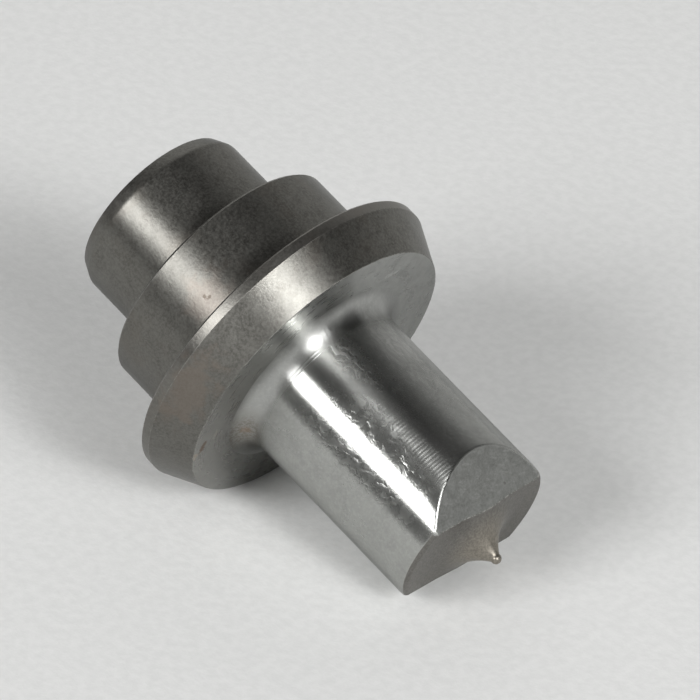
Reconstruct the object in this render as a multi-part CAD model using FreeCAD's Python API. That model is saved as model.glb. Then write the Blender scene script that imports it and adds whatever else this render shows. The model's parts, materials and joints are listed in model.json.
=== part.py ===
import FreeCAD, Part
import math
import os

# Driving dimensions of the rear half in millimetres
shank_diameter = 24.0
shank_length = 12.5
shank_chamfer_length = 1.9
shank_chamfer_depth = 0.9
collar_diameter = 33.0
collar_length = 11.0
collar_edge_break = 0.3
flange_diameter = 44.0
flange_rim_length = 1.5
flange_edge_break = 0.25
cone_front_diameter = 39.0
cone_length = 5.2

# Driving dimensions of the ground body and the tip
body_diameter = 22.0
body_length = 29.0
body_fillet_radius = 2.5
land_width = 11.6
land_ring_width = 3.5
bevel_angle = 45.0
bevel_run_on = 0.5
flare_height = 3.8
nib_diameter = 1.35
nib_straight_length = 0.15

# Space that a cutter leaves outside the steel
cutter_margin = 2.0

shank_radius = shank_diameter / 2
collar_radius = collar_diameter / 2
flange_radius = flange_diameter / 2
cone_front_radius = cone_front_diameter / 2
body_radius = body_diameter / 2
nib_radius = nib_diameter / 2
land_half_width = land_width / 2

# Stations along the axis, from the rear face at 0 to the tip
collar_start = shank_length
flange_start = collar_start + collar_length
cone_start = flange_start + flange_rim_length
flange_front = cone_start + cone_length
land_station = flange_front + body_length
nib_start = land_station + flare_height
nib_centre = nib_start + nib_straight_length
tip_station = nib_centre + nib_radius

# The bevels cut the body's surface furthest back at their heels
bevel_slope = math.tan(math.radians(bevel_angle))
heel_station = land_station - (body_radius - land_half_width) * bevel_slope


def point(station, radius):
    """A point in the profile's plane, with the axis along X and the radius along Z."""
    return FreeCAD.Vector(station, 0, radius)


def on_circle(centre, radius, degrees):
    """The point of a circle in the profile's plane at an angle from the axis direction."""
    turn = math.radians(degrees)
    return centre + FreeCAD.Vector(radius * math.cos(turn), 0, radius * math.sin(turn))


def arc(centre, radius, start_degrees, end_degrees):
    """An edge along a circle in the profile's plane."""
    turns = (start_degrees, (start_degrees + end_degrees) / 2, end_degrees)
    return Part.Arc(*[on_circle(centre, radius, turn) for turn in turns]).toShape()


def polyline(corners):
    """Straight edges through the corners."""
    return [Part.LineSegment(start, end).toShape() for start, end in zip(corners, corners[1:])]


def rear_outline():
    """Rear face, shank, collar and flange, as far as the foot of the fillet on the front face."""
    return polyline([
        point(0, 0),
        point(0, shank_radius - shank_chamfer_depth),
        point(shank_chamfer_length, shank_radius),
        point(collar_start, shank_radius),
        point(collar_start, collar_radius - collar_edge_break),
        point(collar_start + collar_edge_break, collar_radius),
        point(flange_start, collar_radius),
        point(flange_start, flange_radius - flange_edge_break),
        point(flange_start + flange_edge_break, flange_radius),
        point(cone_start, flange_radius),
        point(flange_front, cone_front_radius),
        point(flange_front, body_radius + body_fillet_radius),
    ])


def body_outline():
    """Concave fillet, ground body and the land's outer ring."""
    centre = point(flange_front + body_fillet_radius, body_radius + body_fillet_radius)
    fillet = arc(centre, body_fillet_radius, 180, 270)
    ground = polyline([
        point(flange_front + body_fillet_radius, body_radius),
        point(land_station, body_radius),
        point(land_station, body_radius - land_ring_width),
    ])
    return [fillet] + ground


def nib_outline():
    """Concave flare that leaves the land smoothly, then the straight nib and its round end."""
    reach = body_radius - land_ring_width - nib_radius
    flare_radius = (reach ** 2 + flare_height ** 2) / (2 * flare_height)
    flare_centre = point(land_station + flare_radius, nib_radius + reach)
    end_degrees = 180 + math.degrees(math.atan2(reach, flare_radius - flare_height))
    flare = arc(flare_centre, flare_radius, 180, end_degrees)
    straight = polyline([point(nib_start, nib_radius), point(nib_centre, nib_radius)])
    round_end = arc(point(nib_centre, 0), nib_radius, 90, 0)
    return [flare] + straight + [round_end]


def turned_blank():
    """The punch before its bevels are ground: one profile turned about the axis."""
    outline = rear_outline() + body_outline() + nib_outline()
    closing = polyline([point(tip_station, 0), point(0, 0)])
    profile = Part.Face(Part.Wire(outline + closing))
    return profile.revolve(FreeCAD.Vector(0, 0, 0), FreeCAD.Vector(1, 0, 0), 360)


def bevel_cutter(side):
    """What grinding takes off above (side 1) or below (side -1) the land."""
    outside = body_radius + cutter_margin
    ahead = tip_station + cutter_margin
    inner = land_half_width - bevel_run_on
    corners = [
        point(land_station - (outside - land_half_width) * bevel_slope, side * outside),
        point(land_station + bevel_run_on * bevel_slope, side * inner),
        point(ahead, side * inner),
        point(ahead, side * outside),
    ]
    section = Part.Face(Part.makePolygon(corners + corners[:1]))
    section.translate(FreeCAD.Vector(0, -outside, 0))
    return section.extrude(FreeCAD.Vector(0, 2 * outside, 0))


def rest_lean():
    """Angle of the axis when the flange and the lower bevel's heel lie on a flat surface."""
    flange_corners = [(cone_start, flange_radius), (flange_front, cone_front_radius)]
    slopes = [(radius - body_radius) / (heel_station - station) for station, radius in flange_corners]
    return math.degrees(math.atan(max(slopes)))


def lay_down(shape):
    """Tips the punch about Y so that its tip points down, and sets it over the origin."""
    shape.rotate(FreeCAD.Vector(0, 0, 0), FreeCAD.Vector(0, 1, 0), rest_lean())
    box = shape.optimalBoundingBox(False, False)
    shape.translate(FreeCAD.Vector(-box.Center.x, 0, -box.ZMin))
    return shape


punch = turned_blank().cut([bevel_cutter(1), bevel_cutter(-1)]).Solids[0]
lay_down(punch)

os.makedirs("parts", exist_ok=True)
punch.exportStep("parts/punch.step")
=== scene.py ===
import json
import math

import bpy
import numpy as np
from mathutils import Matrix, Vector


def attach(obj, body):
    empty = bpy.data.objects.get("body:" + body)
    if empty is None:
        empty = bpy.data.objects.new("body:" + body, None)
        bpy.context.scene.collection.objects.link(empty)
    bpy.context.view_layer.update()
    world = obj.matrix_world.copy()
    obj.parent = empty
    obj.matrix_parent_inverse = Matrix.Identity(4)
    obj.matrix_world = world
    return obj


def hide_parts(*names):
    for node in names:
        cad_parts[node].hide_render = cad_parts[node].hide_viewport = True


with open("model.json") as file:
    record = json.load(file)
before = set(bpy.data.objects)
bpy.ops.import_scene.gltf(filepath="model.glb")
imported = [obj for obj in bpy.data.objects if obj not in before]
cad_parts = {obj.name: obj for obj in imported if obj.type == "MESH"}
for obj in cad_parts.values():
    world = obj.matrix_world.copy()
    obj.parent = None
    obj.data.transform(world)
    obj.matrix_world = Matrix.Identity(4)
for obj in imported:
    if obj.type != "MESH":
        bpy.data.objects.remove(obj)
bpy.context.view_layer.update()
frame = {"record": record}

MM = 0.001
mounts = {mount["name"]: mount for mount in frame["record"]["mounts"]}


def radius_of(name):
    return mounts[name]["dims"]["r_mm"]


# Radii in millimetres, from the mounts of the frame
shank_radius = radius_of("shank")
collar_radius = radius_of("locating_collar")
body_radius = radius_of("cutting_body")

# The punch's own axes: X along its axis towards the tip, Z upwards, with the rear face at 0
tip_way = Vector(mounts["cutting_body"]["axis"]).normalized()
level_way = Vector((0, 1, 0))
upper_way = tip_way.cross(level_way)
rear_centre = Vector(mounts["rear_face"]["pos_m"])
punch_axes = Matrix((tip_way, level_way, upper_way)).transposed()
punch_place = Matrix.Translation(rear_centre) @ punch_axes.to_4x4()

# Sizes of the turned forms in millimetres; the flange stays a hair inside the solid's box
shank_length = 12.5
shank_chamfer_length = 1.9
shank_chamfer_depth = 0.9
collar_length = 11.0
collar_edge_break = 0.3
flange_radius = 21.999
flange_rim_length = 1.5
flange_edge_break = 0.25
cone_front_radius = 19.5
cone_length = 5.2
body_length = 29.0
body_fillet_radius = 2.5
run_out_length = 5.5
run_out_rise = 0.11

# Sizes of the tip in millimetres; the straight nib is a hair shorter than the solid's
land_half_width = 5.8
land_ring_width = 3.5
bevel_slope = math.tan(math.radians(45))
flare_height = 3.8
nib_radius = 0.675
nib_straight_length = 0.145

# Roundings of the edges and corners in millimetres
worn_edge = 0.1
rear_edge = 0.25
shank_edge = 1.3
ground_edge = 0.6
inner_corner = 0.12
land_edge_blend = 0.06

# Where rings of the mesh lie close together, in millimetres
rear_band_width = 1.5
rear_band_gap = 0.1
fillet_gap = 0.05
land_edge_spread = 0.08

# Height from the land's edge up to which faces count as worn, in millimetres
worn_land_edge = 0.06

collar_start = shank_length
flange_start = collar_start + collar_length
cone_start = flange_start + flange_rim_length
flange_front = cone_start + cone_length
land_station = flange_front + body_length
nib_start = land_station + flare_height
nib_centre = nib_start + nib_straight_length
flare_foot_radius = body_radius - land_ring_width
flare_reach = flare_foot_radius - nib_radius
flare_radius = (flare_reach ** 2 + flare_height ** 2) / (2 * flare_height)

# Faces round the axis and rings along each form
around = 384
rear_steps = 6
corner_steps = 4
fillet_steps = 16
run_out_steps = 12
wall_steps = 12
ground_edge_steps = 5
land_edge_steps = 6
flare_steps = 40
nib_steps = 9

# Stains: place and size in millimetres in the punch's own axes, share, colour
brown_stains = [
    ((26.9, -20.3, 4.8), (3.2, 6, 7.5), 0.55, (0.235, 0.2, 0.17, 1)),
    ((20.3, -12.6, 10.6), (4.5, 5, 5), 0.24, (0.25, 0.2, 0.168, 1)),
]
collar_pits = [
    ((19.4, -12.9, 10.3), (0.55, 0.25, 0.3), 0.75, (0.075, 0.06, 0.048, 1)),
    ((19.9, -12.7, 10.6), (0.25, 0.5, 0.4), 0.75, (0.075, 0.06, 0.048, 1)),
]
front_stains = [
    ((flange_front, 7.3, 14.1), (3, 1.3, 0.55), 0.6, (0.66, 0.66, 0.64, 1)),
    ((flange_front, -17.7, -3.6), (3, 0.5, 1.5), 0.75, (0.17, 0.11, 0.075, 1)),
    ((flange_front, -18.6, -5.3), (3, 0.6, 0.9), 0.5, (0.5, 0.42, 0.33, 1)),
    ((flange_front, -16.2, -2.2), (3, 0.35, 1.3), 0.45, (0.5, 0.47, 0.42, 1)),
]
fillet_stains = [
    ((31.0, -11.3, -3.5), (1.0, 0.7, 0.9), 0.4, (0.3, 0.19, 0.125, 1)),
]

# Degrees round the axis: the darker side (painted shade on the rear), the rim's lighter side (a painted
# reflection), the painted darker reflection on the flange's front face, how far the side shares and the
# painted darker reflection stay full and where they end, and the painted shade on the front face's underside
darker_side_roll = 100
rim_lighter_roll = -40
darker_reflection_roll = 13
darker_reflection_full = 4
darker_reflection_reach = 16
roll_share_full = 25
roll_share_reach = 80
underside_start = 142
underside_full = 172

# Zones of the body: degrees round the axis and their reach, station and its reach in millimetres
oil_zones = [(65, 12, 46, 15), (41, 9, 47, 14), (17, 12, 36, 7), (33, 12, 45, 7)]
wiped_zone = (-18, 30, 38, 13)
# The next zone is painted shade in the fillet, where it meets the body.
fillet_shade_zone = (-1, 13, 31.9, 1.6)
dirt_zone = (114, 34, 31.2, 3)
ruled_zone = (25, 10, 51, 11)
run_out_zone = (41, 16, 32.65, 4)
# Tone patches of the body, each a zone, share and colour: a lighter patch, then two painted darker
# reflections.
body_tone_patches = [
    ((-26, 36, 36.2, 4.5), 0.5, (0.62, 0.622, 0.605, 1)),
    ((38, 9, 36.6, 5), 0.55, (0.12, 0.12, 0.117, 1)),
    ((16, 9, 45, 11), 0.4, (0.12, 0.12, 0.117, 1)),
]

# Stations in millimetres: near the rim's middle, where the fillet's own finish fades, and of two fine lines
rim_middle = flange_start + 0.8
fillet_end = flange_front + body_fillet_radius
fillet_fade_start = fillet_end - 0.5
fillet_fade_end = fillet_end + 0.7
run_out_lines = (fillet_end - 0.25, fillet_end + 0.15)

# Where a finish is still full and where it ends, in millimetres from its middle or from the axis
rim_full = 0.6
rim_reach = 0.9
sheen_full = 1.6
sheen_reach = 5.8
line_half_width = 0.12

# The ruled marks' waves, in radians per millimetre along the axis
ruled_rate = 13.6

# Ways of fine marks in the punch's own axes
rear_marks_way = (0.72, -0.46, -0.52)
bevel_marks_way = (0, 0.91, -0.41)

# Camera: what it looks at and its distance in millimetres, its angles in degrees, its lens
camera_target = (2.276, 3.981, 21.056)
camera_distance = 726.87
camera_azimuth = -47.322
camera_elevation = 33.425
camera_roll = 2.587
focal_pixels = 6000
frame_pixels = 700
film_width = 36

# Light of the room: elevation in degrees and level
room_levels = [
    (0, 0.5),
    (7, 0.46),
    (17, 0.345),
    (28, 0.285),
    (42, 0.265),
    (52, 0.18),
    (62, 0.1),
    (80, 0.06),
]
room_blue = 0.985

# Pale and dark parts of the room: azimuth, elevation, outer and inner angle in degrees, amount
pale_parts = [(122, 18, 48, 12, 0.16), (146, 30, 34, 10, 0.27)]
dark_parts = [
    (-107, 7, 23, 10, 0.85),
    (-164, 22, 30, 12, 0.93),
    (60, 48, 24, 12, 0.85),
    (24, 40, 20, 8, 0.7),
    (17, 13, 15, 6, 0.6),
]

# The lamps' distance and the floor's width in metres
lamp_distance = 3.0
floor_width = 12.0


def rounded(corners):
    """Points along a line of (station, radius, rounding) corners, each corner turned into an arc."""
    points = [np.array(corners[0][:2])]
    for before, here, after in zip(corners, corners[1:], corners[2:]):
        corner = np.array(here[:2])
        back = np.array(before[:2]) - corner
        ahead = np.array(after[:2]) - corner
        back /= np.linalg.norm(back)
        ahead /= np.linalg.norm(ahead)
        half = math.acos(np.clip(back @ ahead, -1, 1)) / 2
        bisector = (back + ahead) / np.linalg.norm(back + ahead)
        centre = corner + bisector * here[2] / math.sin(half)
        start = corner + back * here[2] / math.tan(half) - centre
        end = corner + ahead * here[2] / math.tan(half) - centre
        turn = math.atan2(start[0] * end[1] - start[1] * end[0], start @ end)
        for k in range(corner_steps + 1):
            angle = turn * k / corner_steps
            spin = np.array([[math.cos(angle), -math.sin(angle)], [math.sin(angle), math.cos(angle)]])
            points.append(centre + spin @ start)
    points.append(np.array(corners[-1][:2]))
    return points


def arc_points(centre, radius, start_degrees, end_degrees, steps):
    """Points of (station, radius) on a circle, without the first one."""
    turns = np.radians(np.linspace(start_degrees, end_degrees, steps + 1)[1:])
    return [np.array([centre[0] + radius * math.cos(t), centre[1] + radius * math.sin(t)]) for t in turns]


def between(start, end, steps):
    """Evenly spaced points after start, up to and with end."""
    return [start + (end - start) * k / steps for k in range(1, steps + 1)]


def bevel_height(distance, cosine):
    """Height of the bevels over the land, at a distance from the axis and an angle from the upper way."""
    return (land_half_width - distance * cosine) * bevel_slope


def turned_height(distance):
    """Height of the turned flare over the land, which is nothing on the land's ring."""
    inward = np.clip(flare_foot_radius - distance, 0, flare_reach)
    return flare_radius - np.sqrt(flare_radius ** 2 - inward ** 2)


def cap_height(distance, cosine):
    """Height of the tip's end over the land: the lower of bevel and flare, blended where they meet."""
    bevel = bevel_height(distance, cosine)
    flare = turned_height(distance)
    gap = np.maximum(land_edge_blend - np.abs(bevel - flare), 0) / land_edge_blend
    return np.minimum(bevel, flare) - gap ** 2 * land_edge_blend / 4


def cap_slope(distance, cosine):
    """Rise of the tip's end for each millimetre away from the axis."""
    step = 0.01
    return (cap_height(distance + step, cosine) - cap_height(distance - step, cosine)) / (2 * step)


def land_edge_distance(cosine):
    """Distance from the axis where the land meets a bevel, for each angle."""
    low = np.full_like(cosine, nib_radius)
    high = np.full_like(cosine, body_radius * 2)
    halvings = 40
    for _ in range(halvings):
        middle = (low + high) / 2
        outside = bevel_height(middle, cosine) < turned_height(middle)
        high = np.where(outside, middle, high)
        low = np.where(outside, low, middle)
    return (low + high) / 2


class Rings:
    """Rings of points (station, radius) for every angle, with the finish of the faces that follow each."""

    def __init__(self):
        self.rings = []
        self.finishes = []

    def add(self, points, finish):
        """A ring through each point, round where its numbers are single ones."""
        for point in points:
            station = np.broadcast_to(point[0], (around,))
            radius = np.broadcast_to(point[1], (around,))
            self.rings.append((station, radius))
            self.finishes.append(finish)


def rear_rings(rings):
    """Rear face, shank, collar and the flange's rim."""
    band = shank_radius - rear_band_width
    rings.add(between(np.array([0.0, 0.0]), np.array([0.0, band - rear_band_gap]), rear_steps), "rear")
    corners = [
        (0, band, 0),
        (0, shank_radius - shank_chamfer_depth, rear_edge),
        (shank_chamfer_length, shank_radius, shank_edge),
        (collar_start, shank_radius, inner_corner),
        (collar_start, collar_radius - collar_edge_break, worn_edge),
        (collar_start + collar_edge_break, collar_radius, worn_edge),
        (flange_start, collar_radius, inner_corner),
        (flange_start, flange_radius - flange_edge_break, worn_edge),
        (flange_start + flange_edge_break, flange_radius, worn_edge),
        (cone_start, flange_radius, worn_edge),
        (flange_front, cone_front_radius, worn_edge),
        (flange_front, body_radius + run_out_rise + body_fillet_radius + fillet_gap, 0),
    ]
    points = rounded(corners)
    rings.add(points[:1], "rear")
    for k, corner in enumerate(corners[1:-1]):
        arc = points[1 + k * (corner_steps + 1):][:corner_steps + 1]
        rings.add(arc[:-1], "edge" if corner[2] == worn_edge else "rear")
        rings.add(arc[-1:], "front" if corner[0] == flange_front else "rear")
    return points[-1]


def front_rings(rings, foot):
    """The flange's front face runs through the fillet and the grinding wheel's run-out into the body."""
    lean = run_out_rise * 2 / run_out_length
    centre = (
        flange_front + body_fillet_radius,
        body_radius + run_out_rise + body_fillet_radius * math.cos(lean),
    )
    fillet = arc_points(centre, body_fillet_radius, 180, 270 - math.degrees(lean), fillet_steps)
    rings.add([foot] + fillet, "body")
    start = centre[0] - body_fillet_radius * math.sin(lean)
    for k in range(1, run_out_steps + 1):
        left = 1 - k / run_out_steps
        rings.add([(start + run_out_length * (1 - left), body_radius + run_out_rise * left ** 2)], "body")
    return start + run_out_length


def cap_distances(start, inner, cosine):
    """Distances of the end's rings from the axis: dense along the land's edge, then in to the nib."""
    edge = np.minimum(land_edge_distance(cosine), inner - 3 * land_edge_spread)
    outer = edge + land_edge_spread
    width = 2 * land_edge_spread
    distances = [start + (outer - start) * k / land_edge_steps for k in range(1, land_edge_steps + 1)]
    distances += [outer - width * k / land_edge_steps for k in range(1, land_edge_steps + 1)]
    inside = edge - land_edge_spread
    inward = [inside + (nib_radius - inside) * (k / flare_steps) for k in range(1, flare_steps + 1)]
    return distances + inward


def tip_rings(rings, wall_start, cosine):
    """The ground body up to the bevels, the bevels, the land and the nib."""
    inner = body_radius - ground_edge
    slope = cap_slope(inner, cosine)
    centre_station = land_station + cap_height(inner, cosine) - ground_edge * np.sqrt(1 + slope ** 2)
    for k in range(1, wall_steps + 1):
        rings.add([(wall_start + (centre_station - wall_start) * k / wall_steps, body_radius)], "body")
    end_turn = np.arctan2(1, -slope)
    for k in range(1, ground_edge_steps + 1):
        turn = end_turn * k / ground_edge_steps
        station = centre_station + ground_edge * np.sin(turn)
        radius = inner + ground_edge * np.cos(turn)
        rings.add([(station, radius)], "round" if k < ground_edge_steps else "end")
    for distance in cap_distances(radius, inner, cosine):
        rings.add([(land_station + cap_height(distance, cosine), distance)], "end")
    rings.add([(nib_centre, nib_radius)], "end")
    for k in range(1, nib_steps):
        turn = math.radians(90 * k / nib_steps)
        rings.add([(nib_centre + nib_radius * math.sin(turn), nib_radius * math.cos(turn))], "end")


def end_finish(finish, ring, following, i, cosine):
    """Bevel faces lie outside the land's edge, the land and the nib inside it, worn faces along it."""
    distance = (ring[1][i] + following[1][i]) / 2
    bevel = bevel_height(distance, cosine[i])
    flare = turned_height(distance)
    if finish == "round":
        return "body" if bevel < flare else "land"
    if abs(bevel - flare) < worn_land_edge:
        return "tip_edge"
    return "bevel" if bevel < flare else "land"


def ring_points(rings, angles):
    """The mesh's corners in the punch's own axes: the rear centre, the rings and the nib's point."""
    points = [(0.0, 0.0, 0.0)]
    for station, radius in rings.rings:
        points += list(zip(station, -radius * np.sin(angles), radius * np.cos(angles)))
    points.append((nib_centre + nib_radius, 0.0, 0.0))
    return points


def ring_faces(rings, cosine):
    """Faces between neighbouring rings and a fan at each end, with the finish of each face."""
    faces = []
    finishes = []
    last = len(rings.rings) - 1
    tip = 1 + (last + 1) * around
    for i in range(around):
        j = (i + 1) % around
        faces.append((0, 1 + j, 1 + i))
        finishes.append("rear")
        faces.append((tip, 1 + last * around + i, 1 + last * around + j))
        finishes.append("land")
    for ring in range(last):
        base = 1 + ring * around
        for i in range(around):
            j = (i + 1) % around
            faces.append((base + i, base + j, base + around + j, base + around + i))
            finish = rings.finishes[ring]
            if finish in ("end", "round"):
                finish = end_finish(finish, rings.rings[ring], rings.rings[ring + 1], i, cosine)
            finishes.append(finish)
    return faces, finishes


def punch_mesh():
    """One closed mesh, built in the punch's own axes and laid into the frame."""
    angles = np.linspace(0, 2 * math.pi, around, endpoint=False)
    cosine = np.abs(np.cos(angles))
    rings = Rings()
    foot = rear_rings(rings)
    wall_start = front_rings(rings, foot)
    tip_rings(rings, wall_start, cosine)
    points = [punch_place @ (Vector(point) * MM) for point in ring_points(rings, angles)]
    faces, finishes = ring_faces(rings, cosine)
    mesh = bpy.data.meshes.new("punch_steel")
    mesh.from_pydata(points, [], faces)
    return mesh, finishes


class Tree:
    """A node tree with short ways to add and join its nodes."""

    def __init__(self, tree):
        self.tree = tree

    def add(self, kind, inputs=None, **settings):
        """A new node with its settings and inputs."""
        made = self.tree.nodes.new(kind)
        for name, value in settings.items():
            setattr(made, name, value)
        for name, value in (inputs or {}).items():
            self.put(made.inputs[name], value)
        return made

    def put(self, socket, value):
        """Join another node's output to an input, or set the input to a value."""
        if isinstance(value, bpy.types.NodeSocket):
            self.tree.links.new(value, socket)
        else:
            socket.default_value = value

    def math(self, operation, *values):
        made = self.add("ShaderNodeMath", operation=operation)
        for k, value in enumerate(values):
            self.put(made.inputs[k], value)
        return made.outputs[0]

    def vector_math(self, operation, *values):
        made = self.add("ShaderNodeVectorMath", operation=operation)
        for k, value in enumerate(values):
            self.put(made.inputs[k], value)
        return made.outputs["Value" if operation in ("LENGTH", "DOT_PRODUCT") else "Vector"]

    def noise(self, vector, scale, detail=2.0, roughness=0.5, distortion=0.0):
        inputs = {"Vector": vector, "Scale": scale, "Detail": detail, "Roughness": roughness}
        return self.add("ShaderNodeTexNoise", {**inputs, "Distortion": distortion}).outputs["Fac"]

    def spread(self, value, low, high, start=0.0, end=1.0, smooth=True):
        """The value between low and high, turned into start to end."""
        inputs = {"Value": value, "From Min": low, "From Max": high, "To Min": start, "To Max": end}
        kind = "SMOOTHSTEP" if smooth else "LINEAR"
        return self.add("ShaderNodeMapRange", inputs, interpolation_type=kind).outputs["Result"]

    def mix(self, share, first, second):
        """A blend of two colours."""
        inputs = {0: share, 6: first, 7: second}
        made = self.add("ShaderNodeMix", data_type="RGBA")
        for k, value in inputs.items():
            self.put(made.inputs[k], value)
        return made.outputs[2]


class Shades(Tree):
    """The shader nodes of one material of the punch."""

    def __init__(self, name):
        self.material = bpy.data.materials.new(name)
        self.material.use_nodes = True
        super().__init__(self.material.node_tree)
        self.shader = self.tree.nodes["Principled BSDF"]

    def set(self, **values):
        """Inputs of the surface by name, such as base_color for Base Color."""
        for name, value in values.items():
            self.put(self.shader.inputs[name.replace("_", " ").title()], value)

    def stretch_highlights(self, amount):
        """Fine marks round the axis stretch every highlight across them."""
        coordinates = self.add("ShaderNodeTexCoord").outputs["Object"]
        from_rear = self.vector_math("SUBTRACT", coordinates, rear_centre)
        round_way = self.vector_math("CROSS_PRODUCT", tuple(tip_way), from_rear)
        self.set(anisotropic=amount, anisotropic_rotation=0.25, tangent=round_way)

    def place(self):
        """Place in the punch's own axes, in millimetres: station, level way and upper way."""
        inputs = {
            "Vector": self.add("ShaderNodeTexCoord").outputs["Object"],
            "Location": rear_centre,
            "Rotation": punch_place.to_euler(),
            "Scale": (MM, MM, MM),
        }
        return self.add("ShaderNodeMapping", inputs, vector_type="TEXTURE").outputs["Vector"]

    def station(self, place):
        """Millimetres from the rear face along the axis."""
        return self.add("ShaderNodeSeparateXYZ", {0: place}).outputs["X"]

    def radial(self, place):
        """What is left of a place without its station: the way from the axis to it."""
        return self.vector_math("MULTIPLY", place, (0, 1, 1))

    def roll(self, place):
        """Degrees round the axis: 0 on the upper side, growing towards the level way's far side."""
        parts = self.add("ShaderNodeSeparateXYZ", {0: place}).outputs
        aside = self.math("MULTIPLY", parts["Y"], -1.0)
        return self.math("DEGREES", self.math("ARCTAN2", aside, parts["Z"]))

    def turned(self, place, across, along):
        """Coordinates for marks round the axis: fine across them and stretched along them."""
        radial = self.radial(place)
        profile = self.math("SUBTRACT", self.station(place), self.vector_math("LENGTH", radial))
        outward = self.vector_math("NORMALIZE", radial)
        stretched = self.vector_math("MULTIPLY", outward, (along, along, along))
        shift = self.add("ShaderNodeCombineXYZ", {"X": self.math("MULTIPLY", profile, across)}).outputs[0]
        return self.vector_math("ADD", stretched, shift)

    def combed(self, place, way, amount):
        """Coordinates for marks that are stretched along a way."""
        along = self.vector_math("DOT_PRODUCT", place, way)
        return self.vector_math("MULTIPLY_ADD", along, tuple(-amount * part for part in way), place)

    def apart(self, value, centre):
        """How far a value lies from a centre, either way."""
        return self.math("ABSOLUTE", self.math("SUBTRACT", value, centre))

    def roll_share(self, place, at_roll, share):
        """A share that fades out to both sides of a place round the axis."""
        return self.spread(self.apart(self.roll(place), at_roll), roll_share_reach, roll_share_full, 0, share)

    def spot(self, place, centre, size, raggedness=2.2):
        """One at a stain's centre and nothing beyond its size, with a ragged edge."""
        apart = self.vector_math("SUBTRACT", place, centre)
        apart = self.vector_math("DIVIDE", apart, size)
        ragged = self.spread(self.noise(place, raggedness, 3, 0.6), 0.3, 0.7, -0.4, 0.4, smooth=False)
        reach = self.math("ADD", self.vector_math("LENGTH", apart), ragged)
        return self.spread(reach, 1.0, 0.45)

    def stained(self, tone, place, stains, raggedness=2.2):
        """The tone with a list of stains laid over it."""
        for centre, size, share, stain in stains:
            spot = self.spot(place, centre, size, raggedness)
            tone = self.mix(self.math("MULTIPLY", spot, share), tone, stain)
        return tone

    def bump(self, height, distance):
        """Relief from heights, of the given depth in millimetres."""
        inputs = {"Height": height, "Distance": distance * MM, "Strength": 1.0}
        return self.add("ShaderNodeBump", inputs).outputs["Normal"]


class BodyShades(Shades):
    """The shader nodes of the ground body, where a place is also given by its roll and its station."""

    def __init__(self, name):
        super().__init__(name)
        self.here = self.place()
        self.here_roll = self.roll(self.here)
        self.here_station = self.station(self.here)

    def zone(self, roll, roll_reach, station, station_reach):
        """One in the middle, fading to nothing at the reach in degrees and millimetres."""
        aside = self.math("DIVIDE", self.math("SUBTRACT", self.here_roll, roll), roll_reach)
        ahead = self.math("DIVIDE", self.math("SUBTRACT", self.here_station, station), station_reach)
        squares = self.math("ADD", self.math("POWER", aside, 2), self.math("POWER", ahead, 2))
        return self.spread(self.math("SQRT", squares), 1.0, 0.3)

    def line(self, station, half_width):
        """One on a fine line round the body."""
        return self.spread(self.apart(self.here_station, station), half_width, 0)


def rear_steel():
    """Hardened steel, scaled olive-grey, with a fine grain, faint combed marks and a few stains."""
    shades = Shades("hardened_steel")
    place = shades.place()
    blotches = shades.noise(place, 0.5, 4, 0.55, 0.3)
    combed = shades.noise(shades.combed(place, rear_marks_way, 0.8), 1.6, 3, 0.6, 0.3)
    grain = shades.noise(place, 2.8, 4, 0.8)
    brown = shades.noise(place, 0.16, 3, 0.55, 0.5)
    tone = shades.mix(shades.spread(blotches, 0.32, 0.68), (0.118, 0.114, 0.103, 1), (0.163, 0.16, 0.146, 1))
    tone = shades.mix(shades.spread(combed, 0.35, 0.7, 0, 0.1), tone, (0.235, 0.23, 0.214, 1))
    tone = shades.mix(shades.spread(grain, 0.35, 0.66, 0, 0.72), tone, (0.265, 0.26, 0.24, 1))
    tone = shades.mix(shades.spread(brown, 0.5, 0.75, 0, 0.4), tone, (0.19, 0.169, 0.145, 1))
    # Painted shade: darker towards one side, where the steel reflects the shaded floor.
    tone = shades.mix(shades.roll_share(place, darker_side_roll, 0.3), tone, (0.12, 0.117, 0.108, 1))
    # The rim's band is a little lighter all round, and lighter still towards one side: a painted reflection.
    rim = shades.spread(shades.apart(shades.station(place), rim_middle), rim_reach, rim_full)
    worn = shades.math("ADD", shades.roll_share(place, rim_lighter_roll, 0.4), 0.15)
    tone = shades.mix(shades.math("MULTIPLY", rim, worn), tone, (0.29, 0.275, 0.255, 1))
    tone = shades.stained(tone, place, brown_stains, 0.5)
    tone = shades.stained(tone, place, collar_pits, 4)
    rough = shades.spread(combed, 0.3, 0.7, 0.35, 0.39)
    rough = shades.math("ADD", rough, shades.spread(grain, 0.3, 0.7, -0.03, 0.03))
    marks = shades.noise(shades.turned(place, 5.0, 4.0), 1.0, 3, 0.6)
    height = shades.math("MULTIPLY_ADD", combed, 0.15, shades.math("MULTIPLY", marks, 0.3))
    height = shades.math("ADD", grain, height)
    shades.set(base_color=tone, metallic=1.0, roughness=rough, normal=shades.bump(height, 0.016))
    shades.set(specular_tint=(0.78, 0.78, 0.78, 1))
    shades.stretch_highlights(0.62)
    return shades.material


def edge_steel(name, dark, bright):
    """Edges worn a little brighter, with small nicks."""
    shades = Shades(name)
    nicks = shades.noise(shades.place(), 2.5, 4, 0.75)
    tone = shades.mix(shades.spread(nicks, 0.4, 0.62), dark, bright)
    shades.set(base_color=tone, metallic=1.0, roughness=0.45, normal=shades.bump(nicks, 0.01))
    return shades.material


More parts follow.
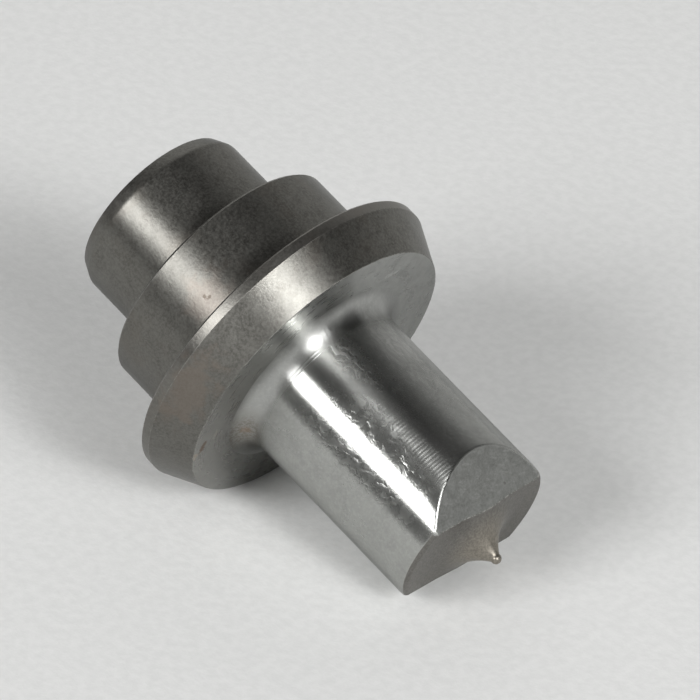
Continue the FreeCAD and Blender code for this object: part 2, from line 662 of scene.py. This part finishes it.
def front_tone(shades, place, wiped, marks):
    """Bright steel with wiping marks, a darker side, painted shade underneath, a painted darker reflection
    above, and stains.
    """
    grain = shades.noise(place, 2.5, 3, 0.7)
    blotches = shades.noise(place, 0.4, 4, 0.6, 1.2)
    roll = shades.roll(place)
    tone = shades.mix(shades.spread(blotches, 0.35, 0.65), (0.42, 0.425, 0.41, 1), (0.475, 0.48, 0.463, 1))
    tone = shades.mix(shades.spread(wiped, 0.52, 0.68, 0, 0.35), tone, (0.54, 0.545, 0.525, 1))
    tone = shades.mix(shades.spread(wiped, 0.46, 0.32, 0, 0.35), tone, (0.28, 0.283, 0.272, 1))
    tone = shades.mix(shades.spread(grain, 0.35, 0.7, 0, 0.17), tone, (0.3, 0.3, 0.288, 1))
    tone = shades.mix(shades.spread(marks, 0.45, 0.65, 0, 0.1), tone, (0.6, 0.605, 0.59, 1))
    # Darker towards one side.
    tone = shades.mix(shades.roll_share(place, darker_side_roll, 0.66), tone, (0.235, 0.227, 0.21, 1))
    # Painted shade on the face's underside, where the body shades it.
    under = shades.spread(shades.math("ABSOLUTE", roll), underside_start, underside_full, 0, 0.6)
    tone = shades.mix(under, tone, (0.1, 0.096, 0.088, 1))
    # A painted darker reflection on the stretch above the axis.
    darker_reflection = shades.spread(shades.apart(roll, darker_reflection_roll), darker_reflection_reach, darker_reflection_full, 0, 0.45)
    tone = shades.mix(darker_reflection, tone, (0.2, 0.2, 0.192, 1))
    return shades.stained(tone, place, front_stains)


def front_steel():
    """Turned bright steel of the flange's front face."""
    shades = Shades("turned_bright_steel")
    place = shades.place()
    wiped = shades.noise(place, 0.3, 3, 0.5, 1.6)
    marks = shades.noise(shades.turned(place, 3.0, 0.8), 1.0, 2, 0.5)
    rough = shades.spread(wiped, 0.3, 0.7, 0.27, 0.31)
    rough = shades.math("ADD", rough, shades.spread(marks, 0.3, 0.7, -0.02, 0.02))
    shades.set(base_color=front_tone(shades, place, wiped, marks), metallic=1.0, roughness=rough)
    shades.set(specular_tint=(0.7, 0.7, 0.7, 1))
    shades.stretch_highlights(0.92)
    return shades.material


def oil_smears(shades):
    """Wisps of wiped oil, how strongly they gather in places, and how thick they lie."""
    swirl = shades.add("ShaderNodeTexNoise", {"Vector": shades.here, "Scale": 0.5, "Detail": 2.0})
    swirled = shades.vector_math("MULTIPLY_ADD", swirl.outputs["Color"], (2.4, 2.4, 2.4), shades.here)
    smeared = shades.spread(shades.noise(shades.here, 0.22, 2, 0.5, 0.6), 0.5, 0.7, 0.02, 0.35)
    for smear in oil_zones:
        smeared = shades.math("MAXIMUM", smeared, shades.zone(*smear))
    gathered = shades.spread(shades.noise(swirled, 0.8, 2, 0.5), 0.38, 0.56, 0.15, 1)
    smeared = shades.math("MULTIPLY", smeared, gathered)
    wisps = shades.noise(shades.vector_math("MULTIPLY", swirled, (0.45, 1, 1)), 1.7, 3, 0.55, 0.3)
    thick = shades.math("MULTIPLY", shades.spread(wisps, 0.35, 0.65), smeared)
    return wisps, smeared, thick


def body_tone(shades, wisps, thick):
    """Ground steel with a grain, thin oil, a lighter patch, two painted darker reflections, painted shade in
    the fillet, and dirt in the fillet.
    """
    blotches = shades.noise(shades.here, 0.45, 4, 0.6, 0.8)
    grain = shades.noise(shades.here, 2.5, 4, 0.75)
    fillet = shades.spread(shades.here_station, fillet_fade_start, fillet_fade_end, 0.2, 0)
    tone = shades.mix(shades.spread(blotches, 0.35, 0.65), (0.395, 0.399, 0.384, 1), (0.435, 0.44, 0.422, 1))
    tone = shades.mix(shades.spread(grain, 0.36, 0.64, -0.3, 0.3), tone, (0.6, 0.606, 0.585, 1))
    tone = shades.mix(shades.math("MULTIPLY", thick, 0.25), tone, (0.32, 0.32, 0.315, 1))
    tone = shades.mix(fillet, tone, (0.62, 0.62, 0.615, 1))
    # A lighter patch, then two painted darker reflections.
    for zone, share, patch_colour in body_tone_patches:
        tone = shades.mix(shades.math("MULTIPLY", shades.zone(*zone), share), tone, patch_colour)
    wiped = shades.math("MULTIPLY", shades.spread(wisps, 0.38, 0.6), shades.zone(*wiped_zone))
    tone = shades.mix(shades.math("MULTIPLY", wiped, 0.3), tone, (0.25, 0.25, 0.242, 1))
    # Painted shade in the fillet.
    fillet_shade = shades.zone(*fillet_shade_zone)
    tone = shades.mix(shades.math("MULTIPLY", fillet_shade, 0.7), tone, (0.12, 0.12, 0.116, 1))
    dirt = shades.math("MULTIPLY", shades.zone(*dirt_zone), shades.spread(grain, 0.4, 0.6, 0.45, 0.9))
    tone = shades.mix(dirt, tone, (0.2, 0.182, 0.155, 1))
    return shades.stained(tone, shades.here, fillet_stains, 3)


def body_relief(shades, wisps, smeared):
    """Heights of the smears, of the grinding marks round the body and of fine lines at the fillet's end."""
    depth = shades.math("MULTIPLY", smeared, 1.5)
    height = shades.math("MULTIPLY", shades.math("SUBTRACT", wisps, 0.5), depth)
    rules = shades.noise(shades.turned(shades.here, 2.0, 0.6), 1.0, 2, 0.5)
    ruled = shades.zone(*ruled_zone)
    height = shades.math("MULTIPLY_ADD", rules, shades.spread(ruled, 0, 1, 0.15, 1.3), height)
    waves = shades.math("MULTIPLY_ADD", shades.here_station, ruled_rate, shades.math("MULTIPLY", rules, 4.0))
    waves = shades.math("SINE", waves)
    height = shades.math("MULTIPLY_ADD", waves, shades.math("MULTIPLY", ruled, 0.22), height)
    run_out = shades.zone(*run_out_zone)
    for station in run_out_lines:
        line = shades.math("MULTIPLY", shades.line(station, line_half_width), run_out)
        height = shades.math("MULTIPLY_ADD", line, 1.2, height)
    return height


def body_steel():
    """Ground steel of the body and its fillet, with grinding marks and smears of wiped oil."""
    shades = BodyShades("ground_steel")
    wisps, smeared, thick = oil_smears(shades)
    tone = body_tone(shades, wisps, thick)
    rough = shades.spread(shades.here_station, fillet_fade_start, fillet_fade_end, 0.3, 0.255)
    rough = shades.math("MULTIPLY_ADD", thick, 0.1, rough)
    relief = shades.bump(body_relief(shades, wisps, smeared), 0.035)
    shades.set(base_color=tone, metallic=1.0, roughness=rough, normal=relief)
    shades.set(specular_tint=(0.62, 0.62, 0.62, 1))
    shades.stretch_highlights(0.98)
    return shades.material


def bevel_steel():
    """Matte ground bevels with a grain, a few specks and fine scratches."""
    shades = Shades("matte_ground_steel")
    place = shades.place()
    grain = shades.noise(place, 3.2, 4, 0.8)
    blotches = shades.noise(place, 0.8, 3, 0.6, 0.5)
    specks = shades.noise(place, 1.1, 3, 0.6)
    scratches = shades.noise(shades.combed(place, bevel_marks_way, 0.985), 2.2, 2, 0.5)
    tone = shades.mix(shades.spread(grain, 0.35, 0.65), (0.246, 0.251, 0.24, 1), (0.323, 0.328, 0.315, 1))
    tone = shades.mix(shades.spread(blotches, 0.3, 0.7, 0.3, 0), tone, (0.12, 0.12, 0.112, 1))
    tone = shades.mix(shades.spread(specks, 0.36, 0.28, 0, 0.5), tone, (0.1, 0.092, 0.08, 1))
    tone = shades.mix(shades.spread(scratches, 0.6, 0.7, 0, 0.18), tone, (0.5, 0.5, 0.485, 1))
    rough = shades.spread(blotches, 0.3, 0.7, 0.42, 0.52)
    shades.set(base_color=tone, metallic=1.0, roughness=rough, normal=shades.bump(grain, 0.007))
    return shades.material


def land_steel():
    """The land and the nib, turned, with a brownish sheen near the nib."""
    shades = Shades("land_steel")
    place = shades.place()
    grain = shades.noise(place, 3.5, 4, 0.8)
    marks = shades.noise(shades.turned(place, 3.0, 2.5), 1.0, 3, 0.6)
    distance = shades.vector_math("LENGTH", shades.radial(place))
    nearness = shades.spread(distance, sheen_reach, sheen_full)
    tone = shades.mix(shades.spread(grain, 0.35, 0.65), (0.15, 0.145, 0.133, 1), (0.235, 0.227, 0.213, 1))
    sheen = shades.mix(shades.spread(grain, 0.35, 0.65), (0.22, 0.202, 0.174, 1), (0.335, 0.309, 0.266, 1))
    tone = shades.mix(nearness, tone, sheen)
    height = shades.math("ADD", grain, shades.math("MULTIPLY", marks, 0.5))
    rough = shades.spread(nearness, 0, 1, 0.46, 0.41)
    shades.set(base_color=tone, metallic=1.0, roughness=rough, normal=shades.bump(height, 0.014))
    return shades.material


def make_punch():
    """The whole punch as one piece, each face with the finish of its form."""
    mesh, finishes = punch_mesh()
    materials = {
        "rear": rear_steel(),
        "edge": edge_steel("worn_edge_steel", (0.17, 0.166, 0.152, 1), (0.34, 0.335, 0.315, 1)),
        "tip_edge": edge_steel("worn_tip_edge_steel", (0.17, 0.168, 0.155, 1), (0.45, 0.445, 0.42, 1)),
        "front": front_steel(),
        "body": body_steel(),
        "bevel": bevel_steel(),
        "land": land_steel(),
    }
    names = list(materials)
    for name in names:
        mesh.materials.append(materials[name])
    for face, finish in zip(mesh.polygons, finishes):
        face.material_index = names.index(finish)
        face.use_smooth = True
    punch = bpy.data.objects.new("punch_steel", mesh)
    bpy.context.scene.collection.objects.link(punch)
    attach(punch, "root")
    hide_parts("punch")


def make_floor():
    """A wide sheet of pale paper with a faint tooth."""
    bpy.ops.mesh.primitive_plane_add(size=floor_width, location=(0, 0, 0))
    floor = bpy.context.object
    floor.name = "floor"
    shades = Shades("pale_paper")
    coordinates = shades.add("ShaderNodeTexCoord").outputs["Object"]
    tooth = shades.noise(coordinates, 0.7 / MM, 3, 0.6)
    tone = shades.mix(shades.spread(tooth, 0.3, 0.7), (0.8, 0.804, 0.796, 1), (0.85, 0.853, 0.845, 1))
    shades.set(base_color=tone, roughness=0.9, normal=shades.bump(tooth, 0.05))
    floor.data.materials.append(shades.material)


def direction(azimuth, elevation):
    """A unit vector, with its azimuth counted from X towards Y."""
    azimuth = math.radians(azimuth)
    elevation = math.radians(elevation)
    return Vector((
        math.cos(elevation) * math.cos(azimuth),
        math.cos(elevation) * math.sin(azimuth),
        math.sin(elevation),
    ))


def make_camera():
    """A long lens that looks down at the punch from its tip end."""
    away = direction(camera_azimuth, camera_elevation)
    camera = bpy.data.objects.new("camera", bpy.data.cameras.new("camera"))
    camera.data.sensor_width = film_width
    camera.data.lens = focal_pixels / frame_pixels * film_width
    camera.data.clip_start = 0.05
    camera.data.clip_end = 30
    stand = Matrix.Translation(Vector(camera_target) * MM + away * camera_distance * MM)
    level = away.to_track_quat("Z", "Y").to_matrix().to_4x4()
    camera.matrix_world = stand @ level @ Matrix.Rotation(math.radians(camera_roll), 4, "Z")
    bpy.context.scene.collection.objects.link(camera)
    bpy.context.scene.camera = camera


def make_lamp(name, azimuth, elevation, width, height, radiance):
    """A softbox that looks at the punch, with its width and height as angles in degrees."""
    data = bpy.data.lights.new(name, "AREA")
    data.shape = "RECTANGLE"
    data.size = 2 * lamp_distance * math.tan(math.radians(width / 2))
    data.size_y = 2 * lamp_distance * math.tan(math.radians(height / 2))
    data.energy = radiance * math.pi * data.size * data.size_y
    lamp = bpy.data.objects.new(name, data)
    way = direction(azimuth, elevation)
    turned = way.to_track_quat("Z", "Y").to_matrix().to_4x4()
    lamp.matrix_world = Matrix.Translation(way * lamp_distance) @ turned
    bpy.context.scene.collection.objects.link(lamp)


def room_ramp(room, way):
    """The room's level at each height, from the horizon to the ceiling."""
    height = room.add("ShaderNodeSeparateXYZ", {0: way}).outputs["Z"]
    ramp = room.add("ShaderNodeValToRGB", {"Fac": height})
    elements = ramp.color_ramp.elements
    while len(elements) < len(room_levels):
        elements.new(1)
    for element, (elevation, level) in zip(elements, room_levels):
        element.position = math.sin(math.radians(elevation))
        element.color = (level, level, level * room_blue, 1)
    return ramp.outputs["Color"]


def room_part(room, way, azimuth, elevation, outer, inner, amount):
    """An amount that rises from an outer angle to an inner one round a direction."""
    nearness = room.vector_math("DOT_PRODUCT", way, direction(azimuth, elevation))
    edges = [math.cos(math.radians(angle)) for angle in (outer, inner)]
    return room.spread(nearness, edges[0], edges[1], 0, amount)


def make_world():
    """A dim studio: paler to the sides and beyond the punch, dark overhead."""
    world = bpy.data.worlds.new("studio")
    bpy.context.scene.world = world
    world.use_nodes = True
    room = Tree(world.node_tree)
    way = room.add("ShaderNodeTexCoord").outputs["Generated"]
    level = room_ramp(room, way)
    for part in pale_parts:
        level = room.math("ADD", level, room_part(room, way, *part))
    for part in dark_parts:
        kept = room.math("SUBTRACT", 1.0, room_part(room, way, *part))
        level = room.math("MULTIPLY", level, kept)
    background = world.node_tree.nodes["Background"]
    background.inputs["Color"].default_value = (1, 1, room_blue, 1)
    room.put(background.inputs["Strength"], level)


make_camera()
make_punch()
make_floor()
make_lamp("left_lamp", azimuth=-95, elevation=32, width=28, height=18, radiance=12)
make_lamp("right_lamp", azimuth=-11, elevation=34, width=31, height=20, radiance=5.5)
make_lamp("right_lamp_core", azimuth=-13.5, elevation=32.4, width=10, height=14, radiance=22)
make_world()

bpy.context.scene.view_settings.view_transform = "Standard"
